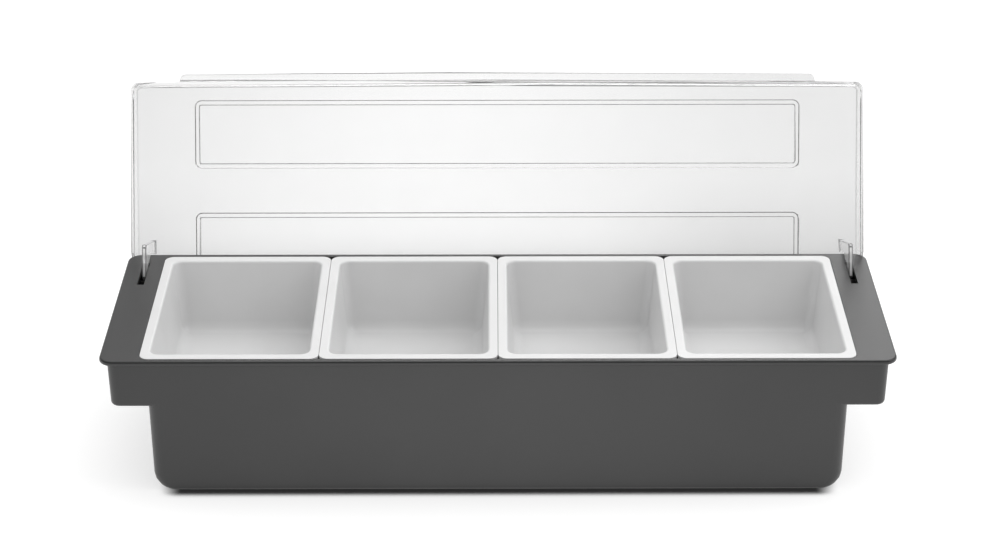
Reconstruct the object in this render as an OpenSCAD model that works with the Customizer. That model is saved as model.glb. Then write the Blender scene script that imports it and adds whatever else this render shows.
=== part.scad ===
// Condiment caddy: a moulded tray holds four lift-out inserts under one clear hinged lid.
// Origin at the centre of the tray's base. +X runs along the tray, +Y to the hinge side, +Z up.
// The lid is drawn shut, in the tray's frame, and then swung open about its hinge axis.

/* [Tray] */
// Length over the rim
tray_l = 500; // [460:1:600]
// Width over the rim, front to back
tray_w = 160; // [150:1:190]
// Height of the rim's top above the table
tray_h = 95; // [90:1:120]
// Thickness of the walls and the floor
wall_t = 2.5; // [2:0.1:3]
// Thickness of the rim plate
rim_t = 3.2; // [3:0.1:4]
// How far the rim stands out past the end walls
rim_over_end = 4.7; // [3:0.1:6]
// How far the rim stands out past the front and rear walls
rim_over_side = 3; // [2:0.1:3.5]
// Corner radius of the rim, seen from above
rim_corner_r = 9; // [6:0.5:12]
// Radius along the rim's upper edge
rim_edge_r = 1.3; // [0.4:0.1:1.4]
// Height of the shoulders at both ends, from the rim's top to their undersides
shoulder_h = 33.7; // [28:0.1:38]
// Room between the end inserts and the lower body's end walls, at the shoulders
insert_room = 1; // [0.3:0.05:6]
// Radius along the shoulders' lower edge
shoulder_r = 2.4; // [2:0.1:6]
// Radius between the tray's end walls and its base
base_end_r = 11; // [4:0.5:12]
// Radius between the tray's front and rear walls and its base
base_side_r = 3; // [3:0.5:12]
// Draft of the shoulders' end walls, in degrees
shoulder_draft = 1.6; // [0.5:0.1:2.5]
// Draft of the other outer walls, in degrees
wall_draft = 0.8; // [0.5:0.1:1.5]

/* [Inserts] */
// Width of the plate at each end, from the rim's edge to the inserts
end_plate = 24.9; // [24:0.1:28]
// Width of the rim left in front of and behind the inserts
rail = 4; // [3.5:0.1:5]
// Depth of an insert, from its flange's top to its underside
insert_h = 52; // [40:0.5:56]
// Width of an insert's flange along its sides
flange_side_w = 6.2; // [5:0.1:8]
// Width of an insert's flange along its front and rear
flange_front_w = 7.2; // [5:0.1:9]
// Thickness of an insert's flange
flange_t = 2; // [1.6:0.1:2.2]
// Wall and floor thickness of an insert
insert_t = 1.8; // [1.5:0.1:2.5]
// Corner radius of an insert's flange, seen from above
flange_r = 6; // [4:0.5:9]
// Radius between an insert's flange and its walls, inside
mouth_r = 1.5; // [1:0.1:3]
// Radius between an insert's walls and its floor, inside
insert_base_r = 7.5; // [4:0.5:10]
// Draft of an insert's walls, in degrees
insert_draft = 5; // [2:0.25:6]
// Gap between neighbouring inserts
seam = 0.3; // [0.3:0.1:1]
// Clearance between an insert and the recess or ledge that it sits in
insert_fit = 0.3; // [0.2:0.05:0.5]
// Width of the ledge under the inserts' flanges
ledge_w = 4; // [3:0.1:5]
// Thickness of that ledge
ledge_t = 2.4; // [2:0.1:3]

/* [Lid] */
// Angle from shut to wide open, in degrees
lid_open = 115.4; // [100:0.1:120]
// Gap between the shut lid and the rim
lid_gap = 0.4; // [0.3:0.1:1]
// Thickness of the lid
lid_t = 2.2; // [1.8:0.1:3]
// Distance from the tray's ends to the lid's skirt
lid_end_in = 0.8; // [0.5:0.1:5]
// Distance from the tray's front edge to the lid's front skirt
lid_front_in = 4.2; // [4:0.1:7]
// Distance from the tray's rear edge to the lid's rear skirt
lid_rear_in = 2; // [1:0.1:4]
// Depth of the skirt at the front, inside
skirt_front_h = 12.2; // [10:0.1:18]
// Rise of the lid's panel from front to rear, in degrees
panel_rise = 4.2; // [2:0.1:6]
// Draft of the lid's skirt, in degrees
skirt_draft = 2; // [1:0.25:4]
// Corner radius of the lid, seen from above
lid_corner_r = 5.5; // [4:0.5:9]
// Radius between the lid's panel and its skirt, outside
lid_edge_r = 1.6; // [1.4:0.1:4]
// Bow of the lid's front edge and of its lip at mid-length
lid_bow = 1.4; // [0:0.1:3]
// Length of the lift lip along the front
lip_l = 432; // [300:1:440]
// How far the lip stands out from the front skirt
lip_out = 5.5; // [4:0.1:10]
// Thickness of the lip
lip_t = 2; // [1.5:0.1:2.5]
// Corner radius of the lip's ends
lip_r = 4; // [2:0.5:6]
// Length of the two raised panels on the lid
emboss_l = 415; // [300:1:420]
// Width of each raised panel
emboss_w = 46.8; // [40:0.1:49]
// Strip of plain lid between the two raised panels
emboss_gap = 30.4; // [10:0.1:32]
// Plain strip between the front skirt and the front raised panel
emboss_front = 11.3; // [8:0.1:12]
// Height of the raised panels
emboss_h = 1; // [0.6:0.1:1.4]
// Width of the slope round each raised panel
emboss_slope = 0.5; // [0.3:0.1:4]
// Thickness of the lid along the edges of the raised panels
emboss_wall = 3; // [2.2:0.1:3.2]
// Corner radius of the raised panels
emboss_r = 4.5; // [3.5:0.5:8]

/* [Hinge] */
// Distance of the hinge axis from the tray's rear edge
pivot_in = 19.2; // [18:0.1:21]
// Depth of the hinge axis below the rim's top
pivot_drop = 12.7; // [12:0.1:14]
// Diameter of the moulded pivot bar
bar_d = 4; // [3.6:0.1:4.4]
// Radial clearance of the hook on its bar
bar_fit = 0.08; // [0.04:0.01:0.1]
// Distance of the slots' centre line from the tray's ends
slot_in = 13.1; // [11.5:0.1:14]
// Thickness of the lid's hooks
hook_t = 3; // [2:0.1:3.2]
// Clearance on each side of a hook in its slot
hook_side = 0.75; // [0.4:0.05:1]
// Wall round the pivot bar at the hook's end
hook_ring = 2.2; // [1.8:0.1:2.3]
// Reach of the hook below the hinge axis when shut
hook_reach = 13; // [11:0.1:14]
// Width of the hook from the hinge axis to its front edge
hook_front = 26; // [22:0.1:28]
// Opening of the hook's mouth, which snaps over the bar
hook_mouth = 3.4; // [3:0.1:3.6]
// Thickness of the web that carries the pivot bar
web_t = 2.4; // [2:0.1:3]

/* [Hidden] */

eps = 0.01;
// a cut runs this far past the face that it opens
over = 1;
$fn = 48;
// facets of the circles inside a hull, and steps of a rounded edge
hull_fn = 28;
edge_steps = 4;

// tray
body_l = tray_l - 2 * rim_over_end;
body_w = tray_w - 2 * rim_over_side;
rim_z = tray_h - rim_t;
shoulder_z = tray_h - shoulder_h;
body_corner_r = rim_corner_r - 3;

// recess for the inserts
recess_l = tray_l - 2 * end_plate;
recess_w = tray_w - 2 * rail;
ledge_z = tray_h - flange_t - insert_fit;

// inserts
insert_count = 4;
pitch = (recess_l - 2 * insert_fit + seam) / insert_count;
insert_l = pitch - seam;
insert_w = recess_w - 2 * insert_fit;
mouth_l = insert_l - 2 * flange_side_w;
mouth_w = insert_w - 2 * flange_front_w;
// an insert's outer walls start inside its flange
insert_top = tray_h - flange_t / 2;
// length over the end inserts' walls where they drop into the lower body
inserts_l = recess_l - 2 * insert_fit - 2 * flange_side_w + 2 * insert_t
    - 2 * (insert_top - shoulder_z - wall_t) * tan(insert_draft);
lower_l = inserts_l + 2 * insert_room + 2 * wall_t;

// hinge axis, as Y and Z
pivot_y = tray_w / 2 - pivot_in;
pivot_z = tray_h - pivot_drop;
bar_r = bar_d / 2;
seat_r = bar_r + bar_fit;
ring_r = seat_r + hook_ring;
slot_x = tray_l / 2 - slot_in;
slot_w = hook_t + 2 * hook_side;
// the hook's front edge leans with the panel, so it is square to it
lug_lean = tan(panel_rise);
slot_clear = 0.8;
slot_rear = pivot_y + ring_r + slot_clear / 2;
slot_front = pivot_y - hook_front - lug_lean * (pivot_drop + hook_reach) - slot_clear;
// the open lid's hooks stop this far above the rim plate
stop_gap = 0.3;

// lid, shut
lid_z = tray_h + lid_gap;
lid_l = tray_l - 2 * lid_end_in;
lid_front_y = -tray_w / 2 + lid_front_in;
lid_rear_y = tray_w / 2 - lid_rear_in;
lid_w = lid_rear_y - lid_front_y;
// the skirt swings past the rim's rear corner on this radius
relief_r = norm([pivot_in, pivot_drop]) + stop_gap * 3;

// ---- shared shapes ----

// a rectangle with round corners, centred
module plan(l, w, r, fn = $fn) {
    square([l - 2 * r, w], center = true);
    square([l, w - 2 * r], center = true);
    for (x = [-1, 1], y = [-1, 1])
        translate([x * (l / 2 - r), y * (w / 2 - r)])
            circle(r, $fn = fn);
}

// a thin slice of such a rectangle, drawn in by the same amount all round
module slice(l, w, r, inset, z) {
    translate([0, 0, z])
        linear_extrude(eps)
            plan(l - 2 * inset, w - 2 * inset, max(r - inset, 0.5), hull_fn);
}

// how far a drafted wall with a rounded lower edge lies inside its top, at a height above its foot
function drawn_in(height, draft, edge, up) =
    (height - max(edge, up)) * tan(draft) + edge - sqrt(edge ^ 2 - max(edge - up, 0) ^ 2);

// a block with drafted walls and a rounded lower edge, given by its size at the top
module drafted_block(l, w, r, top, bottom, draft_end, draft_side, edge_end, edge_side) {
    height = top - bottom;
    edges = edge_end == edge_side ? [edge_end] : [edge_end, edge_side];
    hull() {
        slice(l, w, r, 0, top - eps);
        for (edge = edges, i = [0:edge_steps])
            let (up = edge * (1 - sin(90 * i / edge_steps)))
                slice(
                    l - 2 * drawn_in(height, draft_end, edge_end, up),
                    w - 2 * drawn_in(height, draft_side, edge_side, up),
                    max(r - drawn_in(edge_side, 0, edge_side, up), 0.5), 0, bottom + up
                );
    }
}

// ---- tray ----

// the tray's outside, or its hollow when drawn in by one wall
module tray_form(in) {
    drafted_block(
        body_l - 2 * in, body_w - 2 * in, body_corner_r - in / 2,
        rim_z + eps, shoulder_z + in, shoulder_draft, wall_draft,
        shoulder_r - in / 2, shoulder_r - in / 2
    );
    drafted_block(
        lower_l - 2 * in, body_w - 2 * in - 2 * (rim_z - shoulder_z - shoulder_r) * tan(wall_draft),
        body_corner_r + 2 - in / 2,
        shoulder_z + shoulder_r + in, in, wall_draft, wall_draft,
        base_end_r - in, max(base_side_r - in, 0.5)
    );
}

// the rim plate, with rounded edges
module rim_plate() {
    hull() {
        slice(tray_l, tray_w, rim_corner_r, rim_edge_r / 2, rim_z);
        slice(tray_l, tray_w, rim_corner_r, 0, rim_z + rim_edge_r / 2);
        for (i = [0:edge_steps])
            let (turn = 90 * i / edge_steps)
                slice(
                    tray_l, tray_w, rim_corner_r, rim_edge_r * (1 - cos(turn)),
                    tray_h - rim_edge_r * (1 - sin(turn)) - eps
                );
    }
}

// the ledge that carries the inserts' flanges, part of the walls and the end plates
module ledge() {
    translate([0, 0, ledge_z - ledge_t])
        linear_extrude(ledge_t)
            difference() {
                plan(recess_l + 2 * wall_t, body_w - wall_t, flange_r);
                plan(recess_l - 2 * ledge_w, recess_w - 2 * ledge_w, flange_r - 2);
            }
}

// the round bar that a lid hook turns on, and the web that ties it to the rim and the rear wall
module pivot() {
    web_x = slot_x - slot_w / 2 - hook_side - web_t;
    bar_l = body_l / 2 - wall_t / 2 - web_x;
    web_rear = body_w / 2 - wall_t / 2;
    web_low = pivot_z - ring_r;
    translate([web_x, pivot_y, pivot_z])
        rotate([0, 90, 0])
            cylinder(r = bar_r, h = bar_l);
    translate([web_x, pivot_y - ring_r, web_low])
        cube([web_t, web_rear - pivot_y + ring_r, rim_z - web_low + eps]);
}

module hinge_slot() {
    translate([slot_x - slot_w / 2, slot_front, rim_z - over])
        cube([slot_w, slot_rear - slot_front, rim_t + 2 * over]);
}

module tray() {
    color([0.27, 0.27, 0.28]) {
        difference() {
            union() {
                tray_form(0);
                rim_plate();
            }
            tray_form(wall_t);
            translate([0, 0, ledge_z])
                linear_extrude(flange_t + over)
                    plan(recess_l, recess_w, flange_r);
            translate([0, 0, rim_z - over])
                linear_extrude(rim_t + 2 * over)
                    plan(recess_l - 2 * ledge_w, recess_w - 2 * ledge_w, flange_r - 2);
            for (end = [0, 1])
                mirror([end, 0, 0])
                    hinge_slot();
        }
        ledge();
        for (end = [0, 1])
            mirror([end, 0, 0])
                pivot();
    }
}

// ---- inserts ----

// an insert's outside, or its hollow when drawn in by its wall
module insert_form(in, top) {
    drafted_block(
        mouth_l + 2 * (insert_t - in), mouth_w + 2 * (insert_t - in), flange_r + insert_t - in,
        top, tray_h - insert_h + in, insert_draft, insert_draft,
        insert_base_r + insert_t - in, insert_base_r + insert_t - in
    );
}

// the cut that rounds the top of an insert's hollow over into its flange
module insert_mouth() {
    for (i = [0:edge_steps - 1])
        hull()
            for (turn = [90 * i / edge_steps, 90 * (i + 1) / edge_steps])
                slice(
                    mouth_l + 2 * mouth_r, mouth_w + 2 * mouth_r, flange_r + mouth_r,
                    mouth_r * sin(turn), tray_h - mouth_r * (1 - cos(turn))
                );
}

module insert(index) {
    translate([(index - (insert_count + 1) / 2) * pitch, 0, 0])
        color([0.93, 0.93, 0.93])
            difference() {
                union() {
                    translate([0, 0, tray_h - flange_t])
                        linear_extrude(flange_t)
                            plan(insert_l, insert_w, flange_r);
                    insert_form(0, insert_top);
                }
                insert_form(insert_t, tray_h - mouth_r + eps);
                insert_mouth();
            }
}

// ---- lid, shut ----

// height of the panel's inner face above the hinge axis, at a distance forward of that axis
function panel_over(ahead) =
    lid_z - pivot_z + skirt_front_h + lug_lean * (pivot_y - lid_front_y - ahead);

// where a point of the tray lies beside the open lid: [ahead of the axis, above it] as when shut
function beside_open_lid(y, z) =
    let (dy = y - pivot_y, dz = z - pivot_z, lean = lid_open - 90)
    [dy * sin(lean) + dz * cos(lean), dy * cos(lean) - dz * sin(lean)];

// the bow along a straight front edge of a given half length, standing out most at its middle
module bow(half, front, steps = 12) {
    polygon([
        for (i = [0:steps])
            let (t = 2 * i / steps - 1)
                [t * half, front - lid_bow * (1 - t * t)],
        [half, front + over],
        [-half, front + over]
    ]);
}

// the lid's outline from above, with a bowed front edge, drawn in by an inset
module lid_plan(inset) {
    r = max(lid_corner_r - inset, 0.5);
    translate([0, (lid_front_y + lid_rear_y) / 2])
        plan(lid_l - 2 * inset, lid_w - 2 * inset, r, hull_fn);
    bow(lid_l / 2 - inset - r, lid_front_y + inset);
}

// carries a flat shape drawn at z = 0 up to the sloping panel, a distance above its inner face
module on_panel(above) {
    translate([0, lid_front_y, lid_z + skirt_front_h])
        rotate([panel_rise, 0, 0])
            translate([0, -lid_front_y, above])
                children();
}

// a block under the sloping panel: its foot on the skirt's edge, its top a distance above the panel
module lid_form(in, above, foot, edge) {
    draft_in = skirt_front_h * tan(skirt_draft);
    hull() {
        translate([0, 0, foot])
            linear_extrude(eps)
                lid_plan(in);
        for (i = [0:edge_steps])
            let (turn = 90 * i / edge_steps)
                on_panel(above - edge * (1 - sin(turn)) - eps)
                    linear_extrude(eps)
                        lid_plan(in + draft_in + edge * (1 - cos(turn)));
    }
}

// the two raised panels, as sloping blocks on the lid's outside or their hollows inside
module embosses(grow) {
    for (row = [0, 1])
        translate([0, lid_front_y + emboss_front + emboss_w / 2 + row * (emboss_w + emboss_gap), 0])
            hull() {
                slice(emboss_l + 2 * grow, emboss_w + 2 * grow, emboss_r + grow, 0, 0);
                slice(emboss_l + 2 * grow, emboss_w + 2 * grow, emboss_r + grow, emboss_slope, emboss_h);
            }
}

// one hook in its own plane: X ahead of the hinge axis, Y above it
module hook_outline() {
    root_front = hook_front + lug_lean * (panel_over(hook_front) + hook_reach);
    // the notch stays clear of the rim plate's rear strip when the lid is open
    under = beside_open_lid(slot_rear - slot_clear, rim_z - slot_clear);
    corner = beside_open_lid(slot_rear - slot_clear, tray_h + stop_gap);
    edge = beside_open_lid(tray_w / 2 + slot_clear, tray_h + stop_gap);
    chamfer = 2;
    prong = ring_r + chamfer;
    difference() {
        union() {
            polygon([
                [root_front, panel_over(root_front) + lid_t / 2],
                [hook_front, chamfer - hook_reach],
                [hook_front - chamfer, -hook_reach],
                [hook_mouth / 2 + chamfer / 2, -hook_reach],
                [0, -prong],
                [-ring_r, -prong],
                [-ring_r, 0],
                [0, ring_r],
                under,
                corner,
                edge,
                [edge[0], panel_over(edge[0]) + lid_t / 2]
            ]);
            circle(ring_r);
        }
        circle(seat_r);
        // the mouth widens downwards, so the hook snaps over the bar
        polygon([
            [-hook_mouth / 2, 0],
            [hook_mouth / 2, 0],
            [hook_mouth / 2, -prong + chamfer],
            [hook_mouth / 2 + chamfer, -hook_reach - over],
            [-ring_r - over, -hook_reach - over],
            [-ring_r - over, -prong],
            [-hook_mouth / 2 - chamfer / 2, -prong],
            [-hook_mouth / 2, -prong + chamfer]
        ]);
    }
}

module hook() {
    translate([slot_x + hook_t / 2, pivot_y, pivot_z])
        rotate([90, 0, -90])
            linear_extrude(hook_t)
                hook_outline();
}

module lift_lip() {
    translate([0, 0, lid_z])
        linear_extrude(lip_t)
            difference() {
                union() {
                    translate([0, lid_front_y])
                        plan(lip_l, 2 * lip_out, lip_r);
                    bow(lip_l / 2 - lip_r, lid_front_y - lip_out);
                }
                translate([-lip_l, lid_front_y])
                    square([2 * lip_l, 2 * lip_out]);
            }
}

module lid_shut() {
    difference() {
        union() {
            lid_form(0, lid_t, lid_z, lid_edge_r);
            on_panel(lid_t - eps)
                embosses(0);
        }
        lid_form(lid_t, 0, lid_z - over, lid_edge_r - lid_t / 2);
        on_panel(-eps)
            embosses(-emboss_wall);
        // the skirt swings past the rim's rear corner
        translate([-tray_l, pivot_y, pivot_z])
            rotate([0, 90, 0])
                cylinder(r = relief_r, h = 2 * tray_l);
        // and hangs clear of the rear wall when the lid is open
        translate([0, pivot_y, pivot_z])
            rotate([lid_open, 0, 0])
                translate([-tray_l, -tray_w - pivot_y, -pivot_z - tray_h])
                    cube([2 * tray_l, tray_w * 1.5 - rim_over_side + rim_t / 2, 2 * tray_h - rim_t]);
    }
    lift_lip();
    for (end = [0, 1])
        mirror([end, 0, 0])
            hook();
}

module lid() {
    color([0.9, 0.92, 0.93, 0.4])
        translate([0, pivot_y, pivot_z])
            rotate([-lid_open, 0, 0])
                translate([0, -pivot_y, -pivot_z])
                    lid_shut();
}

tray();
insert(1);  // insert_1
insert(2);  // insert_2
insert(3);  // insert_3
insert(4);  // insert_4
lid();
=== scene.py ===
"""A condiment caddy on a white studio floor: dark tray, white inserts and one clear hinged lid."""
import math

import bpy
from mathutils import Matrix, Vector

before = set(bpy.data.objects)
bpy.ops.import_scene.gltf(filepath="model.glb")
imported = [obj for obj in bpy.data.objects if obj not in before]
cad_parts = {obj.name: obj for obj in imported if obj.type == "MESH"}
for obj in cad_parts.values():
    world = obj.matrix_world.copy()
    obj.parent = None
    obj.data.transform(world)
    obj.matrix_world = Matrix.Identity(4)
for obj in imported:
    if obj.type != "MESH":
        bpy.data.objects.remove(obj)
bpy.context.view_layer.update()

# ---- camera: metres, degrees and millimetres of lens ----
CAMERA_AT = Vector((-0.0033, -1.4963, 0.8251))
CAMERA_PITCH = 25.43
CAMERA_YAW = 0.181
CAMERA_ROLL = -0.02
CAMERA_LENS = 91.95
SENSOR_WIDTH = 36.0
NEAREST, FURTHEST = 0.01, 50.0

# ---- mouldings: metres, degrees, and linear grey levels ----
# points nearer than this are one
NEAR = 1e-6
# faces that turn by less than this lie in one flat
FLAT_ANGLE = 0.5
# edges that turn by more than this are rounded, in this many steps
EDGE_ANGLE = 35
EDGE_STEPS = 3
EDGE_TRAY, EDGE_INSERT, EDGE_LID = 0.0004, 0.00012, 0.0008

# how many clouds of colour to the metre, and the noise levels between which they turn
CLOUDS = 14.0
CLOUD_DETAIL = 3.0
CLOUD_TURN = (0.35, 0.65)
# the noise levels between which a surface goes from smooth to rough, and the height of its grain
ROUGH_TURN = (0.3, 0.7)
GRAIN_HEIGHT = 0.0002

# ---- the clear lid ----
LID_IOR = 1.49
LID_HAZE = 60.0
LID_HAZE_DETAIL = 3.0
# how much passes through a face: to lamps, and for light that has bounced inside it for long
LID_SHADOW = 0.93
LID_TRAPPED = 0.8
LID_BOUNCES = 2
# the share of the lid that is clear. The hooks are cloudier, at the open lid's foot: within this
# far of the middle, in front of this place, and over this height
LID_CLEAR = 0.96
HOOK_CLEAR = 0.5
HOOK_X, HOOK_Y, HOOK_Z = 0.2405, 0.086, 0.066
# the lid's sides start this far from the middle, and its front skirt is between these heights.
# There the lid takes its side and front greys, which on its rounded edges are painted shade
SIDE_X = (0.2425, 0.2435)
FRONT_LOW, FRONT_HIGH = (0.188, 0.192), (0.2035, 0.2025)

# ---- the floor ----
FLOOR_SIZE = 12.0
FLOOR_WHITE = 0.52
FLOOR_GLOW = 0.6
# how bright gloss shows the floor's middle, a painted reflection that is brighter than the rest of
# the floor, and where that ends
FLOOR_GLOSS = 0.86
GLOSS_X = (0.3, 0.0)
# painted light and shade on the floor, as only the clear lid shows it: its grey behind the lid's
# middle, its ends and its lower corners, and away from it
THROUGH_MIDDLE = 0.93
THROUGH_END = 0.77
THROUGH_CORNER = 0.87
THROUGH_AWAY = 0.45
# the X of the lid's middle there, and the distances from it at which each of these starts and ends
THROUGH_X = -0.06
END_X = (0.0, 0.36)
CORNER_X, CORNER_Y = (0.12, 0.26), (0.46, 0.29)
BEHIND_X, BEHIND_Y, BEYOND_Y = (0.52, 0.38), (0.14, 0.34), (0.95, 0.7)
# a painted shadow, the dark line of shade at the foot of the front: how far it reaches, how clear
# of it a place is, how dark it gets, how much of it gloss shows, and where it ends
CONTACT = 0.0105
CONTACT_SAMPLES = 16
CONTACT_CLEAR = (0.66, 0.98)
CONTACT_LEVEL = 0.03
CONTACT_GLOSS = 0.3
CONTACT_X, CONTACT_Y = (0.219, 0.203), (0.0, -0.05)

# ---- the studio around it ----
# from the front to the rear: the light on matt surfaces, and the studio that gloss shows
SKY_TURN = (-0.5, 0.6)
SKY_FRONT, SKY_REAR = 0.71, 0.85
MIRRORED_FRONT, MIRRORED_REAR = 0.05, 0.5
THROUGH_SKY = 0.6
# a soft panel behind the caddy, which gloss shows on the rim
PANEL_WAY = Vector((0.14, 0.9, 0.42)).normalized()
PANEL_TURN = (0.955, 0.997)
PANEL_LEVEL = 2.1
LAMP_AIM = Vector((0, 0, 0.08))


def make_camera():
    data = bpy.data.cameras.new("camera")
    data.lens = CAMERA_LENS
    data.sensor_width = SENSOR_WIDTH
    data.sensor_fit = "HORIZONTAL"
    data.clip_start = NEAREST
    data.clip_end = FURTHEST
    camera = bpy.data.objects.new("camera", data)
    bpy.context.scene.collection.objects.link(camera)
    turn = (
        Matrix.Rotation(math.radians(-CAMERA_YAW), 4, "Z")
        @ Matrix.Rotation(math.radians(90 - CAMERA_PITCH), 4, "X")
        @ Matrix.Rotation(math.radians(CAMERA_ROLL), 4, "Z")
    )
    camera.matrix_world = Matrix.Translation(CAMERA_AT) @ turn
    bpy.context.scene.camera = camera


class Tree:
    """A short way to add nodes to a material's or world's tree."""

    def __init__(self, owner):
        owner.use_nodes = True
        self.tree = owner.node_tree
        self.tree.nodes.clear()

    def add(self, kind, _inputs=None, **settings):
        node = self.tree.nodes.new(kind)
        for name, value in settings.items():
            setattr(node, name, value)
        for name, value in (_inputs or {}).items():
            self.feed(node.inputs[name], value)
        return node

    def feed(self, socket, value):
        if isinstance(value, bpy.types.NodeSocket):
            self.tree.links.new(value, socket)
        else:
            socket.default_value = value

    def maths(self, operation, a, b=0.0, clamp=False):
        node = self.add("ShaderNodeMath", operation=operation, use_clamp=clamp)
        self.feed(node.inputs[0], a)
        self.feed(node.inputs[1], b)
        return node.outputs[0]

    def times(self, *values):
        product = values[0]
        for value in values[1:]:
            product = self.maths("MULTIPLY", product, value)
        return product

    def size(self, value):
        return self.maths("ABSOLUTE", value)

    def span(self, value, low, high, to_low=0.0, to_high=1.0):
        """Goes smoothly from to_low to to_high while value goes from low to high."""
        node = self.add("ShaderNodeMapRange", interpolation_type="SMOOTHSTEP")
        for name, number in (
            ("Value", value),
            ("From Min", low),
            ("From Max", high),
            ("To Min", to_low),
            ("To Max", to_high),
        ):
            self.feed(node.inputs[name], number)
        return node.outputs[0]

    def mix(self, share, a, b):
        node = self.add("ShaderNodeMix", data_type="FLOAT")
        for name, number in (("Factor", share), ("A", a), ("B", b)):
            self.feed(node.inputs[name], number)
        return node.outputs["Result"]

    def blend(self, share, a, b):
        """As mix, for colours, whose sockets have no names of their own."""
        node = self.add("ShaderNodeMix", data_type="RGBA")
        self.feed(node.inputs["Factor"], share)
        self.feed(node.inputs[6], a)
        self.feed(node.inputs[7], b)
        return node.outputs[2]

    def noise(self, place, scale, detail=2.0):
        inputs = {"Vector": place, "Scale": scale, "Detail": detail}
        return self.add("ShaderNodeTexNoise", inputs).outputs["Fac"]

    def xyz(self, vector):
        return self.add("ShaderNodeSeparateXYZ", {"Vector": vector}).outputs


def grey(level):
    return (level, level, level, 1.0)


def moulded(name, dark, light, rough, grain, grain_depth, **surface):
    """A moulded plastic: a cloudy colour between dark and light, and a fine moulding grain."""
    material = bpy.data.materials.new(name)
    tree = Tree(material)
    place = tree.add("ShaderNodeTexCoord").outputs["Object"]
    clouds = tree.noise(place, CLOUDS, CLOUD_DETAIL)
    speck = tree.noise(place, grain)
    bump = tree.add(
        "ShaderNodeBump", {"Strength": grain_depth, "Distance": GRAIN_HEIGHT, "Height": speck}
    )
    shader = tree.add(
        "ShaderNodeBsdfPrincipled",
        {
            "Base Color": tree.blend(tree.span(clouds, *CLOUD_TURN), grey(dark), grey(light)),
            "Roughness": tree.span(speck, *ROUGH_TURN, *rough),
            "Normal": bump.outputs[0],
            **surface,
        },
    )
    tree.add("ShaderNodeOutputMaterial", {"Surface": shader.outputs[0]})
    return material


def lid_plastic(name, dark, light, side, front, rough):
    """Clear plastic between dark and light, with other greys at the lid's sides and front skirt.
    Given dark greys, it paints shade: the dark lines that light draws at the lid's rounded edges.

    Lamps shine through it, and light that has bounced about inside it for long gets out.
    """
    material = bpy.data.materials.new(name)
    tree = Tree(material)
    place = tree.add("ShaderNodeTexCoord").outputs["Object"]
    haze = tree.noise(place, LID_HAZE, LID_HAZE_DETAIL)
    x, y, z = tree.xyz(place)
    hook = tree.times(
        tree.maths("LESS_THAN", tree.size(x), HOOK_X),
        tree.maths("LESS_THAN", y, HOOK_Y),
        tree.maths("GREATER_THAN", z, HOOK_Z),
    )
    skirt = tree.times(tree.span(z, *FRONT_LOW), tree.span(z, *FRONT_HIGH))
    colour = tree.blend(haze, grey(dark), grey(light))
    colour = tree.blend(tree.span(tree.size(x), *SIDE_X), colour, grey(side))
    glass = tree.add(
        "ShaderNodeBsdfPrincipled",
        {
            "Base Color": tree.blend(skirt, colour, grey(front)),
            "Roughness": tree.span(haze, *ROUGH_TURN, *rough),
            "IOR": LID_IOR,
            "Transmission Weight": tree.mix(hook, LID_CLEAR, HOOK_CLEAR),
        },
    )
    path = tree.add("ShaderNodeLightPath").outputs
    passes = tree.maths("MAXIMUM", path["Is Shadow Ray"], path["Is Diffuse Ray"])
    trapped = tree.maths("GREATER_THAN", path["Ray Depth"], LID_BOUNCES)
    tint = tree.blend(trapped, grey(LID_SHADOW), grey(LID_TRAPPED))
    clear = tree.add("ShaderNodeBsdfTransparent", {"Color": tint})
    mix = tree.add("ShaderNodeMixShader")
    tree.feed(mix.inputs[0], tree.maths("MAXIMUM", passes, trapped))
    tree.feed(mix.inputs[1], glass.outputs[0])
    tree.feed(mix.inputs[2], clear.outputs[0])
    tree.add("ShaderNodeOutputMaterial", {"Surface": mix.outputs[0]})
    return material


def shading_nodes():
    """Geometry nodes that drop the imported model's own normals and shade every face smooth."""
    group = bpy.data.node_groups.new("smooth_faces", "GeometryNodeTree")
    for way in ("INPUT", "OUTPUT"):
        group.interface.new_socket("Geometry", in_out=way, socket_type="NodeSocketGeometry")
    start = group.nodes.new("NodeGroupInput")
    forget = group.nodes.new("GeometryNodeRemoveAttribute")
    forget.inputs["Name"].default_value = "custom_normal"
    smooth = group.nodes.new("GeometryNodeSetShadeSmooth")
    end = group.nodes.new("NodeGroupOutput")
    for a, b in ((start, forget), (forget, smooth), (smooth, end)):
        group.links.new(a.outputs[0], b.inputs[0])
    return group


def round_edges(piece, width):
    """Rounds a moulding's sharp edges by modifiers, and shades its flats flat.

    The rounded edges take the piece's last material.
    """
    piece.modifiers.new("smooth_faces", "NODES").node_group = SMOOTH_FACES
    weld = piece.modifiers.new("weld", "WELD")
    weld.merge_threshold = NEAR
    flats = piece.modifiers.new("flats", "DECIMATE")
    flats.decimate_type = "DISSOLVE"
    flats.angle_limit = math.radians(FLAT_ANGLE)
    bevel = piece.modifiers.new("bevel", "BEVEL")
    bevel.limit_method = "ANGLE"
    bevel.angle_limit = math.radians(EDGE_ANGLE)
    bevel.offset_type = "ABSOLUTE"
    bevel.use_clamp_overlap = False
    bevel.width = width
    bevel.segments = EDGE_STEPS
    bevel.material = len(piece.data.materials) - 1
    piece.modifiers.new("normals", "WEIGHTED_NORMAL")


def dress(node, materials, edge):
    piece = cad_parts[node]
    piece.data.materials.clear()
    for material in materials:
        piece.data.materials.append(material)
    round_edges(piece, edge)


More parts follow.
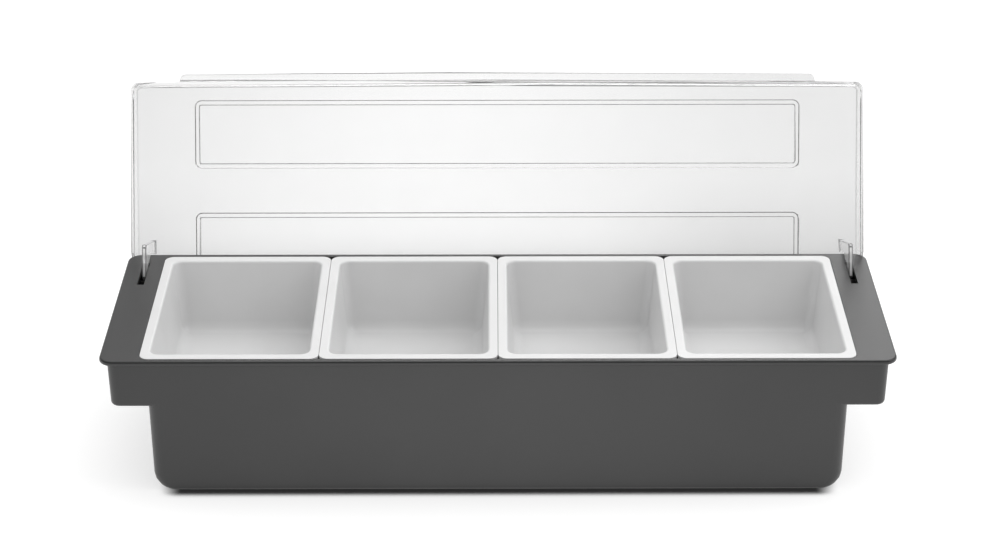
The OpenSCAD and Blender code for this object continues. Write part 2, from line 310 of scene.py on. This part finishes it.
def make_world():
    """White to the camera. Other rays meet a studio that is brighter to the rear."""
    world = bpy.data.worlds.new("studio")
    bpy.context.scene.world = world
    tree = Tree(world)
    path = tree.add("ShaderNodeLightPath").outputs
    way = tree.add("ShaderNodeTexCoord").outputs["Generated"]
    along = tree.xyz(way)["Y"]
    lit = tree.span(along, *SKY_TURN, SKY_FRONT, SKY_REAR)
    mirrored = tree.span(along, *SKY_TURN, MIRRORED_FRONT, MIRRORED_REAR)
    sky = tree.blend(path["Is Glossy Ray"], lit, mirrored)
    sky = tree.blend(path["Is Transmission Ray"], sky, grey(THROUGH_SKY))
    facing = tree.add("ShaderNodeVectorMath", {0: way, 1: PANEL_WAY}, operation="DOT_PRODUCT")
    panel = tree.span(facing.outputs["Value"], *PANEL_TURN, 0.0, PANEL_LEVEL)
    seen_through = tree.maths(
        "SUBTRACT", path["Is Transmission Ray"], path["Glossy Depth"], clamp=True
    )
    panel = tree.mix(seen_through, panel, 0.0)
    level = tree.maths("MAXIMUM", tree.maths("ADD", sky, panel), path["Is Camera Ray"])
    background = tree.add("ShaderNodeBackground", {"Color": level})
    tree.add("ShaderNodeOutputWorld", {"Surface": background.outputs[0]})


def painted_foot_shadow(tree, path, place):
    """Painted shadow: 1 on the open floor, and nearly 0 on the dark line of shade at the foot of
    the caddy's front.
    """
    clear = tree.add(
        "ShaderNodeAmbientOcclusion", {"Distance": CONTACT}, samples=CONTACT_SAMPLES
    ).outputs["AO"]
    mirrored = tree.times(path["Is Glossy Ray"], CONTACT_GLOSS)
    foot_shadow_share = tree.times(
        tree.maths("MAXIMUM", path["Is Camera Ray"], mirrored),
        tree.span(clear, *CONTACT_CLEAR, 1.0, 0.0),
        tree.span(tree.size(place["X"]), *CONTACT_X),
        tree.span(place["Y"], *CONTACT_Y),
    )
    return tree.mix(foot_shadow_share, 1.0, CONTACT_LEVEL)


def painted_through_light(tree, place):
    """Painted light for the clear lid to show: a pool of light on the floor behind the open lid's
    middle, with painted shade at its ends and lower corners.
    """
    side = tree.size(tree.maths("SUBTRACT", place["X"], THROUGH_X))
    behind = tree.span(side, *END_X, THROUGH_MIDDLE, THROUGH_END)
    corner = tree.times(tree.span(side, *CORNER_X), tree.span(place["Y"], *CORNER_Y))
    behind = tree.times(behind, tree.mix(corner, 1.0, THROUGH_CORNER))
    painted_pool = tree.times(
        tree.span(side, *BEHIND_X),
        tree.span(place["Y"], *BEHIND_Y),
        tree.span(place["Y"], *BEYOND_Y),
    )
    return tree.mix(painted_pool, THROUGH_AWAY, behind)


def make_floor():
    """A white floor that keeps the caddy's shadow, with a painted shadow at the foot of its front.
    The camera and gloss see it glow, and gloss sees a painted brighter middle. The lid shows
    painted light on it.
    """
    half = FLOOR_SIZE / 2
    corners = [(-half, -half, 0), (half, -half, 0), (half, half, 0), (-half, half, 0)]
    mesh = bpy.data.meshes.new("floor")
    mesh.from_pydata(corners, [], [(0, 1, 2, 3)])
    floor = bpy.data.objects.new("floor", mesh)
    bpy.context.scene.collection.objects.link(floor)
    material = bpy.data.materials.new("floor")
    tree = Tree(material)
    path = tree.add("ShaderNodeLightPath").outputs
    place = tree.xyz(tree.add("ShaderNodeNewGeometry").outputs["Position"])
    # a painted shadow at the foot of the caddy's front, which darkens both the floor's white and
    # its glow
    foot_shadow = painted_foot_shadow(tree, path, place)
    # painted light and shade that only rays through the lid see
    through = painted_through_light(tree, place)
    level = tree.times(tree.mix(path["Is Transmission Ray"], FLOOR_WHITE, through), foot_shadow)
    white = tree.add("ShaderNodeBsdfDiffuse", {"Color": level})
    seen = tree.maths("MAXIMUM", path["Is Camera Ray"], path["Is Glossy Ray"])
    seen = tree.maths("SUBTRACT", seen, path["Is Transmission Ray"], clamp=True)
    # painted reflection: gloss sees the floor's middle glow brighter
    middle = tree.times(tree.span(tree.size(place["X"]), *GLOSS_X), path["Is Glossy Ray"])
    strength = tree.times(seen, tree.mix(middle, FLOOR_GLOW, FLOOR_GLOSS), foot_shadow)
    glow = tree.add("ShaderNodeEmission", {"Strength": strength})
    both = tree.add("ShaderNodeAddShader")
    tree.feed(both.inputs[0], white.outputs[0])
    tree.feed(both.inputs[1], glow.outputs[0])
    tree.add("ShaderNodeOutputMaterial", {"Surface": both.outputs[0]})
    mesh.materials.append(material)


def make_lamp(name, at, size, power):
    data = bpy.data.lights.new(name, "AREA")
    data.shape = "RECTANGLE"
    data.size, data.size_y = size
    data.energy = power
    lamp = bpy.data.objects.new(name, data)
    lamp.location = at
    lamp.rotation_euler = (LAMP_AIM - Vector(at)).to_track_quat("-Z", "Y").to_euler()
    bpy.context.scene.collection.objects.link(lamp)


make_camera()
SMOOTH_FACES = shading_nodes()

tray_plastic = moulded(
    "tray_plastic", 0.024, 0.028, rough=(0.3, 0.4), grain=2600.0, grain_depth=0.2, IOR=1.6
)
dress("tray", [tray_plastic], EDGE_TRAY)

insert_plastic = moulded(
    "insert_plastic", 0.68, 0.71, rough=(0.3, 0.38), grain=1800.0, grain_depth=0.08
)
for number in range(1, 5):
    dress(f"insert_{number}", [insert_plastic], EDGE_INSERT)

clear_plastic = lid_plastic("lid_plastic", 0.93, 0.96, side=0.95, front=0.95, rough=(0.02, 0.05))
# the lid's rounded edges: painted shade, a dark grey that stands in for the lines light draws in
# clear plastic, painted lighter at the sides and lighter still on the front skirt
lid_edge_painted_shade = lid_plastic("lid_edges_painted_shade", 0.21, 0.24, side=0.36, front=0.85, rough=(0.08, 0.12))
dress("lid", [clear_plastic, lid_edge_painted_shade], EDGE_LID)

make_world()
make_floor()
make_lamp("top_softbox", at=(0.2, 0.35, 2.2), size=(2.2, 1.6), power=17)
make_lamp("right_softbox", at=(1.9, -0.1, 1.7), size=(1.4, 1.4), power=12)

scene = bpy.context.scene
scene.view_settings.view_transform = "Standard"
